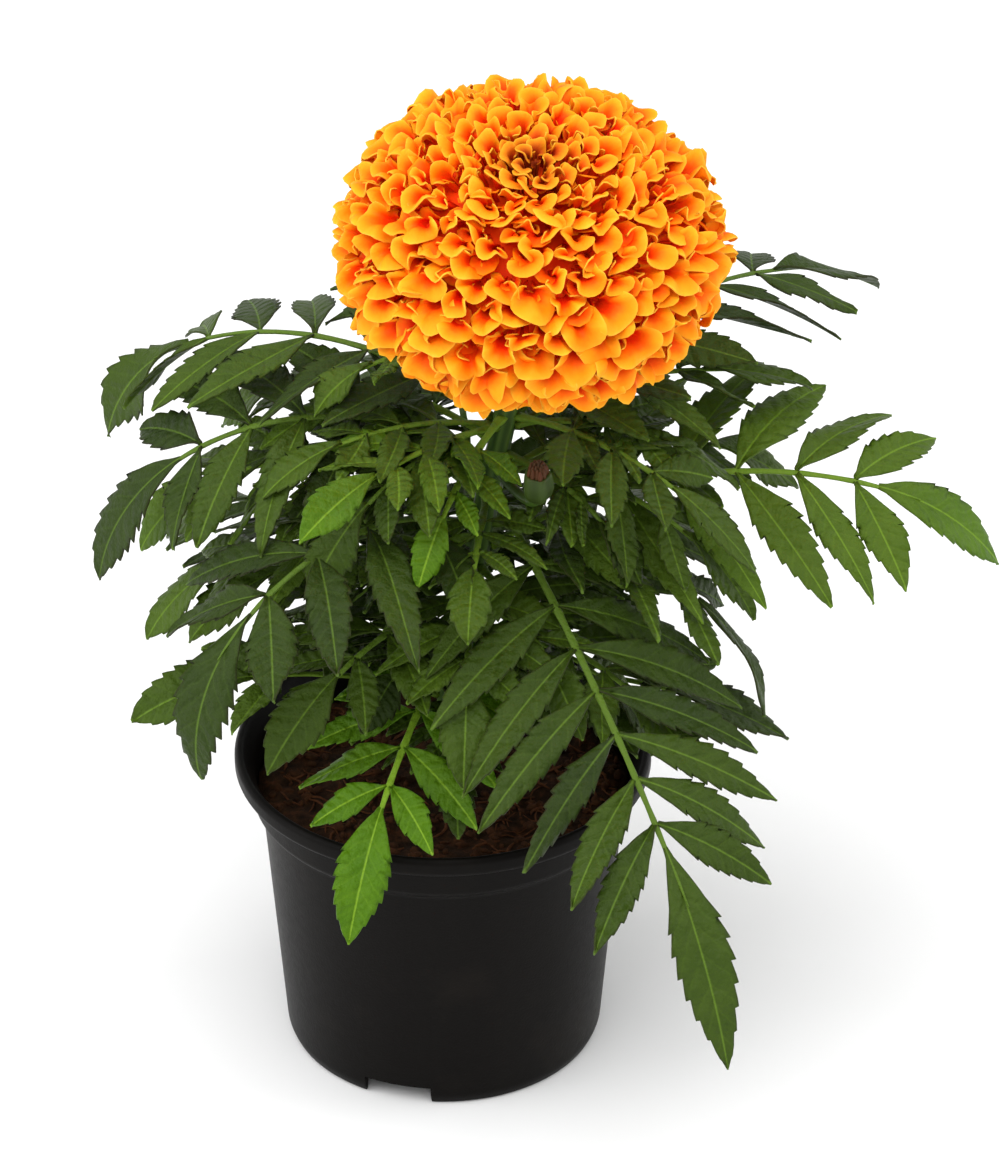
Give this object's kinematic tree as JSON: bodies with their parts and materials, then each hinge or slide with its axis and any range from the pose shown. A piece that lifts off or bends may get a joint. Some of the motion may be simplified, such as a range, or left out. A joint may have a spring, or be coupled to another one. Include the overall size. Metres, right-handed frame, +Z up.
{
  "type": "potted african marigold",
  "caption": "Potted African marigold with one full orange pompon bloom, toothed pinnate leaves and a bud, in a round black nursery pot filled with compost.",
  "frame": {"origin": "centre of the pot's foot, on the surface that it stands on", "axes": "+Z up along the pot's axis; the picture looks along +Y with +X to the right"},
  "size_m": [0.2688, 0.2584, 0.3034],
  "materials": {
    "pot": "black satin moulded plastic",
    "soil": "dark brown crumbly compost with reddish fibres",
    "stem": "ribbed green stem",
    "bud": "closed red-brown florets",
    "petals": "soft orange petals with a red-orange throat",
    "leaf": "matte dark green leaf with a pale midrib"
  },
  "bodies": {
    "root": {"pot": "pot", "potting_soil": "soil", "stem": "stem", "bud_petals": "bud", "bloom": "petals", "leaf_right": "leaf", "leaf_front_right": "leaf", "leaf_front": "leaf", "leaf_left": "leaf", "leaf_front_left": "leaf", "leaf_back_left": "leaf", "leaf_high_back_left": "leaf", "leaf_back_right": "leaf", "leaf_upper_right": "leaf", "leaf_upper_front_right": "leaf", "leaf_young_left": "leaf", "leaf_young_front": "leaf", "leaf_arched": "leaf", "leaf_mid_front": "leaf", "leaf_mid_front_left": "leaf", "leaf_mid_front_right": "leaf", "leaf_low_left": "leaf", "leaf_low_right": "leaf", "leaf_low_back_left": "leaf", "leaf_low_back_right": "leaf", "leaf_back": "leaf", "leaf_upper_back": "leaf", "leaf_inner_left": "leaf"}
  },
  "joints": []
}
